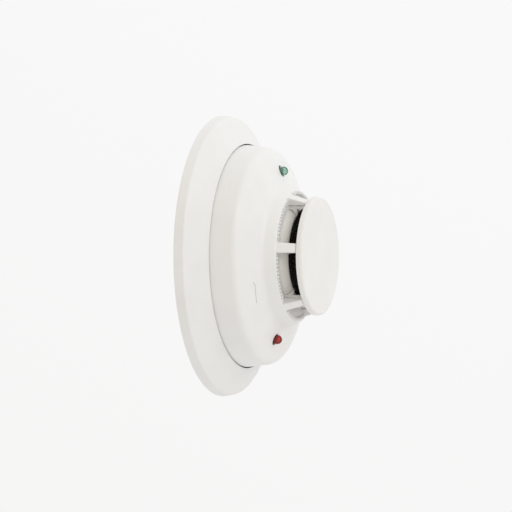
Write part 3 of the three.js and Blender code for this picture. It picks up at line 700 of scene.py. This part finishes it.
def rear_housing():
    inner = HOUSING_RADIUS - 2
    cup = revolve(rounded([
        (0, HOUSING_LOW), (22, HOUSING_LOW, 0.3), (23, HOUSING_LOW + 0.6, 0.3),
        (33, HOUSING_LOW + 0.6, 0.3), (34, HOUSING_LOW, 0.3), (HOUSING_RADIUS, HOUSING_LOW, 0.8),
        (HOUSING_RADIUS, HOUSING_TOP, 0.5), (inner, HOUSING_TOP, 0.5), (inner, 10, 0.8), (0, 10),
    ]), 192)
    added = []
    for i in range(3):
        lug = sheet_shape(arc_sector(56.2, 60.9, -7, 7), HOUSING_LOW + 0.05, LEDGE_LOW - 0.4, 0.3)
        post = moved(rod(3.2, 9.5, BOARD_LOW - GAP, 0.3), POST_PLACE)
        web = slab([(48.8, 9.6), (55.4, 9.6), (55.4, 19), (48.8, 14)], 1.2, 0.15)
        added.append(moved(lug, angle=i * THIRD))
        added.append(moved(boolean(post, web, "UNION"), angle=POST_ANGLES[i]))
    cup = boolean(cup, merged(added), "UNION")
    cuts = [moved(rod(1.2, 12, 24, 0, 24), POST_PLACE, a) for a in POST_ANGLES]
    cuts += [moved(box(1.4, 6.1, 7, 11, 0), BLADE_PLACE, a) for a in TERMINAL_ANGLES]
    return boolean(cup, merged(cuts), "DIFFERENCE")


def circuit_board():
    disc = rod(BOARD_RADIUS, BOARD_LOW, BOARD_TOP, 0.15, 192)
    holes = [moved(rod(1.5, 18, 24, 0, 32), POST_PLACE, a) for a in POST_ANGLES]
    return boolean(disc, merged(holes), "DIFFERENCE")


def scattered(count, inner, outer, start, end):
    """Evenly spread places in a ring sector, by the golden ratio, so every run is the same."""
    golden = 0.618034
    for i in range(count):
        radius = math.sqrt(inner ** 2 + (outer ** 2 - inner ** 2) * ((i + 0.5) / count))
        yield radius, start + (end - start) * ((i * golden) % 1)


# The board's taken places: (radius, angle, reach).
BUSY = [(*RELAY_PLACE, 12.5), (*LARGE_CAN_PLACE, 6), (*SMALL_CAN_PLACE, 5), (*PROCESSOR_PLACE, 8),
        (*REED_PLACE, 10.5)]
BUSY += [(LED_PLACE, a, 5) for a in LED_ANGLES.values()]
BUSY += [(BEAD_PLACE, a, 3) for a in BEAD_ANGLES]
BUSY += [(POST_PLACE, a, 4.5) for a in POST_ANGLES]


def on_circle(radius, angle):
    return Vector((math.cos(math.radians(angle)), math.sin(math.radians(angle)))) * radius


def clear_of_parts(radius, angle, size):
    here = on_circle(radius, angle)
    return all((here - on_circle(place, at)).length >= reach + size for place, at, reach in BUSY)


def board_chips():
    """Chip resistors and capacitors, each with two soldered ends."""
    bodies, ends = [], []
    for i, (radius, angle) in enumerate(scattered(70, 28, 50.5, 0, 360)):
        if not clear_of_parts(radius, angle, 2):
            continue
        spin = Matrix.Rotation(math.radians(90 * (i % 2)), 4, "Y")
        height = 0.5 if i % 3 else 0.8
        bodies.append(moved(box(1.5, 1.1, 0, height, 0.08), radius, angle, BOARD_TOP, spin))
        for side in (-0.95, 0.95):
            shift = Matrix.Translation((side, 0, 0))
            end = box(0.5, 1.14, 0, height + 0.03, 0.1)
            ends.append(moved(end, radius, angle, BOARD_TOP, spin @ shift))
    return merged(bodies), merged(ends)


def solder_pins():
    """Small solder cones where leads and blades come through the board."""
    outline = rounded([(0, BOARD_TOP), (1.4, BOARD_TOP, 0), (0.5, BOARD_TOP + 0.9, 0.3),
                       (0, BOARD_TOP + 1.0)], 4, 0)
    return merged([moved(revolve(outline, 24), BLADE_PLACE, a) for a in TERMINAL_ANGLES
                   if clear_of_parts(BLADE_PLACE, a, 0.5)])


def relay():
    case = box(10, 18, 0, 9, 0.5, 3)
    ridge = box(6, 12, 8.8, 9.1, 0.15)
    return boolean(case, ridge, "UNION")


def capacitor(radius, height):
    return revolve(rounded([
        (0, 0), (radius - 0.3, 0, 0.2), (radius, 0.4, 0.3), (radius, 1.3, 0.2), (radius - 0.35, 1.6, 0.2),
        (radius, 1.9, 0.2), (radius, height - 0.1, 0.6), (radius - 0.7, height, 0.2),
        (radius - 0.9, height - 0.25, 0.1), (0, height - 0.25),
    ], 4, 0.05), 64)


def capacitor_vent(radius, height):
    """The scored cross on a capacitor's bare aluminium end."""
    end = rod(radius - 0.9, height - 0.5, height - 0.15, 0.05, 48)
    return boolean(end, cross(radius * 1.3, 0.25, height - 0.25, height), "DIFFERENCE")


def microcontroller():
    body = box(7, 7, 0.15, 1.4, 0.2)
    dimple = moved(rod(0.5, 1.3, 2, 0, 24), before=Matrix.Translation((-2.4, 0, -2.4)))
    return boolean(body, dimple, "DIFFERENCE")


def microcontroller_legs():
    legs = []
    profile = [(3.4, 0.75), (4.0, 0.75), (4.15, 0.2), (4.5, 0.2), (4.5, 0.05), (4.0, 0.05), (3.85, 0.6),
               (3.4, 0.6)]
    for side in range(4):
        for k in range(8):
            foot = slab(profile, 0.32, 0.03)
            shift = Matrix.Translation((0, 0, (k - 3.5) * 0.8))
            legs.append(moved(foot, before=Matrix.Rotation(math.pi / 2 * side, 4, "Y") @ shift))
    return merged(legs)


def reed_switch():
    """A glass tube with sealed ends, lying along Z."""
    outline = rounded([(0, -6.5), (0.6, -6.5, 0.2), (REED_RADIUS, -5.6, 0.6), (REED_RADIUS, 5.6, 0.6),
                       (0.6, 6.5, 0.2), (0, 6.5)], 5, 0.05)
    return moved(revolve(outline, 40), before=Matrix.Rotation(math.pi / 2, 4, "X"))


def reed_blades():
    """Two blades that overlap inside the glass, each with its lead bent down to the board."""
    blades = []
    for sign in (-1, 1):
        path = [(0, 0.12 * sign, -0.8 * sign), (0, 0, 4 * sign), (0, 0, 8.2 * sign)]
        path += [(0, 0.35, 8.8 * sign), (0, REED_RADIUS, 9.0 * sign)]
        blades.append(tube(path, 0.26, 8))
    return merged(blades)


def quarter(radius, top, step):
    """The (radius, height) points of a round end."""
    angles = [math.radians(a) for a in range(0, 90, step)]
    return [(radius * math.cos(a), top - radius + radius * math.sin(a)) for a in angles] + [(0, top)]


def indicator():
    """A moulded lamp: flange, straight side and a domed end."""
    dome = quarter(LED_RADIUS, LED_TOP, 6)
    flange = LED_FLANGE_RADIUS
    outline = [(0, LED_LOW), (flange - 0.12, LED_LOW), (flange, LED_LOW + 0.12), (flange, LED_LOW + 0.88),
               (flange - 0.12, LED_LOW + 1.0), (LED_RADIUS, LED_LOW + 1.05)]
    return revolve(outline + dome, 64)


def indicator_core():
    """The reflector cup and the two lead posts that show inside the lens."""
    rim = LED_TOP - 2.2
    cup = revolve(rounded([(0, rim - 1.4), (0.7, rim - 1.4, 0.1), (1.25, rim, 0.05), (1.0, rim, 0.05),
                           (0.5, rim - 0.7, 0.1), (0, rim - 0.7)], 3, 0), 32)
    cup_post = tube([(0, -(PART_LOW - 0.2), 0), (0, -(rim - 1.5), 0)], 0.3, 8)
    wire_post = tube([(1.5, -(PART_LOW - 0.2), 0), (1.5, -(rim - 1.1), 0)], 0.25, 8)
    return merged([cup, cup_post, wire_post])


def indicator_spacer():
    return revolve(rounded([
        (0.8, PART_LOW, 0.1), (LED_RADIUS, PART_LOW, 0.3), (LED_RADIUS, LED_LOW - GAP, 0.3),
        (0.8, LED_LOW - GAP, 0.1),
    ], 3, 0.05), 48)


def indicator_gap_shade():
    """A dark sleeve round the foot of a lamp, its end following the dome. It is painted shade: a black
    thing put where the lamp's hole shows only a thin shadow line in the gap."""
    sleeve = revolve(rounded([
        (2.56, GAP_SHADE_LOW, 0.05), (2.8, GAP_SHADE_LOW, 0.05), (2.8, GAP_SHADE_TOP, 0.08),
        (2.56, GAP_SHADE_TOP, 0.08),
    ], 2, 0.02), 64)
    for vertex in sleeve.verts:
        vertex.co.y += DOME_SLOPE * vertex.co.x
    return sleeve


def thermistor():
    """A dipped bead on a sleeved pair of leads."""
    top = BEAD_TOP
    return revolve(rounded([(0, top - 5.4), (0.8, top - 5.4, 0.3), (1.6, top - 3.4, 1.0),
                            (1.65, top - 1.4, 1.0), (0.7, top, 0.8), (0, top)], 6, 0), 40)


def thermistor_sleeve():
    top = BEAD_TOP - 5.0
    return merged([tube([(x, -PART_LOW, 0), (x, -(top - 4), 0), (x * 0.7, -top, 0)], 0.5, 12)
                   for x in (-0.62, 0.62)])


def chamber_base():
    radius = CHAMBER_RADIUS
    body = revolve(rounded([
        (radius - 2, PART_LOW, 0.2), (radius + 3, PART_LOW, 0.3), (radius + 3, PART_LOW + 1.6, 0.4),
        (radius, PART_LOW + 1.6, 0.6), (radius, CHAMBER_FLOOR, 0.3), (0, CHAMBER_FLOOR),
        (0, CHAMBER_FLOOR - 2), (radius - 2, CHAMBER_FLOOR - 2, 0.5),
    ]), 160)
    rib = [(radius - 0.4, PART_LOW + 1), (radius + 2.6, PART_LOW + 1), (radius - 0.4, PART_LOW + 9)]
    added = [moved(slab(rib, 1.2, 0.15), angle=360 / RIB_COUNT * (i + 0.5)) for i in range(RIB_COUNT)]
    channels = []
    for angle in OPTIC_ANGLES:
        added.append(moved(box(7, 7, CHAMBER_FLOOR - 0.5, CHAMBER_FLOOR + 4.5, 0.3), 11.5, angle))
        channels.append(moved(box(9, 4.2, CHAMBER_FLOOR + 0.1, CHAMBER_FLOOR + 6, 0), 11.5, angle))
    body = boolean(body, merged(added), "UNION")
    return boolean(body, merged(channels), "DIFFERENCE")


def chamber_labyrinth():
    lid = revolve(rounded([
        (0, SCREEN_TOP - 1.6), (21.3, SCREEN_TOP - 1.6, 0.2), (21.3, SCREEN_TOP - 0.1, 0.4),
        (17, SCREEN_TOP - 0.1, 0.3), (16.5, SCREEN_TOP - 0.5, 0.2), (0, SCREEN_TOP - 0.5),
    ]), 128)
    vanes = []
    bent = rounded([(-2.6, -0.55, 0.3), (0.2, -0.55, 1), (2.6, -1.1, 0.3), (2.6, 0.1, 0.3),
                    (0.2, 0.6, 1), (-2.6, 0.6, 0.3)], 3, 0)
    slant = Matrix.Rotation(-math.radians(40), 4, "Y")
    for i in range(VANE_COUNT):
        vane = sheet_shape(bent, CHAMBER_FLOOR + GAP, SCREEN_TOP - 1.2, 0)
        vanes.append(moved(vane, 18.2, 360 / VANE_COUNT * (i + 0.5), 0, slant))
    return boolean(lid, merged(vanes), "UNION")


def insect_screen():
    """A woven mesh held between two rings and twelve bars."""
    wires = 150
    rows = 11
    wire_radius = 0.11
    inner = CHAMBER_RADIUS - 0.7
    middle = CHAMBER_RADIUS - 0.35
    low = CHAMBER_FLOOR + GAP
    high = SCREEN_TOP
    shapes = [band(inner, CHAMBER_RADIUS, bottom, bottom + 1.2, 0.12, 160) for bottom in (low, high - 1.2)]
    for i in range(12):
        shapes.append(moved(box(0.6, 1.0, low + 0.6, high - 0.6, 0.1), middle, 30 * i))
    spots = [on_circle(middle, 360 / wires * k) for k in range(wires)]
    for x, z in spots:
        shapes.append(tube([(x, -low - 0.6, z), (x, -high + 0.6, z)], wire_radius, 5))
    for k in range(1, rows):
        height = low + (high - low) * k / rows
        shapes.append(tube([(x, -height, z) for x, z in spots], wire_radius, 5, closed=True))
    return merged(shapes)


def optic():
    """A small round-ended lamp lying along +X, its lens towards the axis."""
    outline = [(0, 0), (OPTIC_RADIUS - 0.05, 0), (OPTIC_RADIUS, 0.1)] + quarter(OPTIC_RADIUS, 5.8, 10)
    return moved(revolve(outline, 40), before=Matrix.Rotation(-math.pi / 2, 4, "Z"))


# ---------------------------------------------------------------- assembly

def build_base():
    piece("base_moulding", mounting_base(), "base", BASE_WHITE, ["mounting_base"])
    for i, angle in enumerate(TERMINAL_ANGLES, 1):
        clip = moved(terminal_clip(), angle=angle)
        washer = moved(terminal_washer(), SCREW_PLACE, angle, WASHER_LOW)
        screw = moved(pan_screw(1.6, 4.4, 3.1, 2.0), SCREW_PLACE, angle, WASHER_LOW + 1.1)
        piece(f"clip_{i}", clip, "base", BRASS, [f"terminal_clip_{i}"])
        piece(f"washer_{i}", washer, "base", NICKEL, [f"terminal_washer_{i}"])
        piece(f"wiring_screw_{i}", screw, "base", STEEL, [f"terminal_screw_{i}"])


def on_board(shape, place, height=PART_LOW):
    return moved(shape, *place, height)


def build_head():
    piece("housing", rear_housing(), "head", HOUSING_WHITE, ["rear_housing"])
    piece("board", circuit_board(), "head", BOARD, ["circuit_board"])
    chips, ends = board_chips()
    piece("chip_parts", chips, "head", CHIP)
    piece("chip_ends", ends, "head", SOLDER)
    piece("solder_joints", solder_pins(), "head", SOLDER)
    for i, angle in enumerate(TERMINAL_ANGLES, 1):
        blade = moved(contact_blade(), angle=angle)
        piece(f"blade_{i}", blade, "head", NICKEL, [f"contact_blade_{i}"])
    for i, angle in enumerate(POST_ANGLES, 1):
        screw = on_board(pan_screw(0.9, 8.5, 2.8, 1.6), (POST_PLACE, angle))
        piece(f"case_screw_{i}", screw, "head", STEEL, [f"board_screw_{i}"])
    piece("relay_case", on_board(relay(), RELAY_PLACE), "head", RELAY, ["relay"])
    for name, radius, height, place in (("large", 4, 8.5, LARGE_CAN_PLACE),
                                        ("small", 3.1, 6.8, SMALL_CAN_PLACE)):
        can = on_board(capacitor(radius, height), place)
        end = on_board(capacitor_vent(radius, height), place)
        piece(f"{name}_can", can, "head", SLEEVE, [f"capacitor_{name}"])
        piece(f"{name}_can_end", end, "head", STEEL)
    processor = on_board(microcontroller(), PROCESSOR_PLACE)
    legs = on_board(microcontroller_legs(), PROCESSOR_PLACE, BOARD_TOP)
    piece("processor", processor, "head", CHIP, ["microcontroller"])
    piece("processor_legs", legs, "head", SOLDER)
    glass = on_board(reed_switch(), REED_PLACE, REED_HEIGHT)
    blades = on_board(reed_blades(), REED_PLACE, REED_HEIGHT)
    piece("reed_glass", glass, "head", GLASS, ["reed_switch"])
    piece("reed_blades", blades, "head", NICKEL)
    for i, (colour, material) in enumerate((("green", GREEN), ("red", RED)), 1):
        build_indicator(i, colour, material)
    for i, angle in enumerate(BEAD_ANGLES, 1):
        bead = moved(thermistor(), BEAD_PLACE, angle)
        leads = moved(thermistor_sleeve(), BEAD_PLACE, angle)
        piece(f"bead_{i}", bead, "head", EPOXY, [f"thermistor_{i}"])
        piece(f"bead_leads_{i}", leads, "head", SLEEVE)


def build_indicator(i, colour, material):
    angle = LED_ANGLES[colour]
    lamp, gap_shade, core, spacer = (moved(shape(), LED_PLACE, angle) for shape in (
        indicator, indicator_gap_shade, indicator_core, indicator_spacer))
    piece(f"{colour}_lamp", lamp, "head", material, [f"led_{colour}"])
    # Painted shade: a black sleeve where the lamp's hole shows only a shadow gap.
    piece(f"{colour}_lamp_gap_shade", gap_shade, "head", BLACK)
    piece(f"{colour}_lamp_core", core, "head", NICKEL)
    piece(f"{colour}_lamp_spacer", spacer, "head", BLACK, [f"led_spacer_{i}"])


def build_chamber():
    piece("pedestal", chamber_base(), "head", BLACK, ["chamber_base"])
    piece("labyrinth", chamber_labyrinth(), "head", BLACK, ["chamber_labyrinth"])
    piece("screen", insect_screen(), "head", MESH_BLACK, ["insect_screen"])
    height = CHAMBER_FLOOR + 0.4 + OPTIC_RADIUS
    emitter, receiver = (moved(optic(), 14, angle, height) for angle in OPTIC_ANGLES)
    piece("emitter", emitter, "head", BLUE, ["infrared_emitter"])
    piece("receiver", receiver, "head", EPOXY, ["photodiode"])


def build_cover():
    piece("cover_moulding", front_cover(), "cover", COVER_WHITE, ["front_cover"])
    piece("throat", vent_throat(), "cover", THROAT_PAINTED_LIGHT, ["vent_throat"])
    for i in range(FIN_COUNT):
        post = moved(fin(), angle=360 / FIN_COUNT * i)
        piece(f"fin_{i + 1}", post, "cover", COVER_WHITE, [f"vent_fin_{i + 1}"])
    piece("rim_dashes", rim_dashes(), "cover", COVER_WHITE)
    piece("cap_grille", cap_grille(), "cover", GRILLE_BLACK)
    piece("magnet_mark", dome_mark(), "cover", MARK_PAINTED_SHADE)
    piece("cap", cap_disc(), "cover", CAP_WHITE, ["cap_disc"])


# ---------------------------------------------------------------- camera, light and floor

CAMERA_TURN = math.radians(70.07)
CAMERA_ASIDE = 17.41
CAMERA_DISTANCE = 1657.1
SENSOR_WIDTH = 36
FOCAL_LENGTH = 210.9375

# In metres from here on, with the detector at the origin.
LIGHT_SIZE = 1.2
LIGHT_DISTANCE = 1.6
STUDIO_RADIUS = 20
STUDIO_FLOOR = -2
BRIGHT_SIDE = Vector((0.829, -0.056, 0.556))
DIM_AIR = (0.6, 0.542, 0.458)
BRIGHT_AIR = (0.983, 0.988, 1.0)


def make_camera():
    """Level with the detector, well round to its left, through a long lens."""
    across = Vector((math.cos(CAMERA_TURN), -math.sin(CAMERA_TURN), 0))
    ahead = Vector((math.sin(CAMERA_TURN), math.cos(CAMERA_TURN), 0))
    data = bpy.data.cameras.new("camera")
    data.sensor_width = SENSOR_WIDTH
    data.lens = FOCAL_LENGTH
    data.clip_start = 0.1
    data.clip_end = 30
    camera = bpy.data.objects.new("camera", data)
    bpy.context.scene.collection.objects.link(camera)
    camera.location = (across * CAMERA_ASIDE - ahead * CAMERA_DISTANCE) * MM
    camera.rotation_mode = "QUATERNION"
    camera.rotation_quaternion = ahead.to_track_quat("-Z", "Y")
    bpy.context.scene.camera = camera


def area_light(name, towards, power, colour=(1, 1, 1)):
    """A round soft box, at the same distance from the detector as every other."""
    data = bpy.data.lights.new(name, "AREA")
    data.shape = "DISK"
    data.size = LIGHT_SIZE
    data.energy = power
    data.color = colour
    light = bpy.data.objects.new(name, data)
    bpy.context.scene.collection.objects.link(light)
    direction = Vector(towards).normalized()
    light.location = direction * LIGHT_DISTANCE
    light.rotation_mode = "QUATERNION"
    light.rotation_quaternion = direction.to_track_quat("Z", "Y")


def make_world():
    """A pale surround, a little warmer and dimmer on the side that the picture is taken from."""
    world = bpy.data.worlds.new("studio")
    bpy.context.scene.world = world
    world.use_nodes = True
    tree = world.node_tree
    place = tree.nodes.new("ShaderNodeTexCoord").outputs["Generated"]
    along = tree.nodes.new("ShaderNodeVectorMath")
    along.operation = "DOT_PRODUCT"
    along.inputs[1].default_value = BRIGHT_SIDE.normalized() / 2
    tree.links.new(place, along.inputs[0])
    half = tree.nodes.new("ShaderNodeMath")
    half.operation = "ADD"
    half.inputs[1].default_value = 0.5
    tree.links.new(along.outputs["Value"], half.inputs[0])
    colour = ramp(tree, half.outputs["Value"], DIM_AIR, BRIGHT_AIR, 0, 1)
    tree.links.new(colour, tree.nodes["Background"].inputs["Color"])


def make_studio():
    make_world()
    area_light("key", (-0.3, -0.9, 0.5), 3.9, (0.93, 0.985, 1))
    area_light("top", (-0.2, -0.3, 1.0), 0.45)

    bm = bmesh.new()
    bmesh.ops.create_circle(bm, cap_ends=True, radius=STUDIO_RADIUS, segments=96)
    bm.transform(Matrix.Translation((0, 0, STUDIO_FLOOR)))
    floor = raw_object("floor", bm)
    material, tree, shader, place = new_material("pale_floor")
    pale = ramp(tree, noise(tree, place, 3), (0.91, 0.91, 0.91), (0.93, 0.93, 0.93))
    tree.links.new(pale, shader.inputs["Base Color"])
    shader.inputs["Roughness"].default_value = 0.8
    floor.data.materials.append(material)


make_camera()
make_studio()
build_base()
build_head()
build_chamber()
build_cover()
bpy.context.scene.view_settings.view_transform = "Standard"
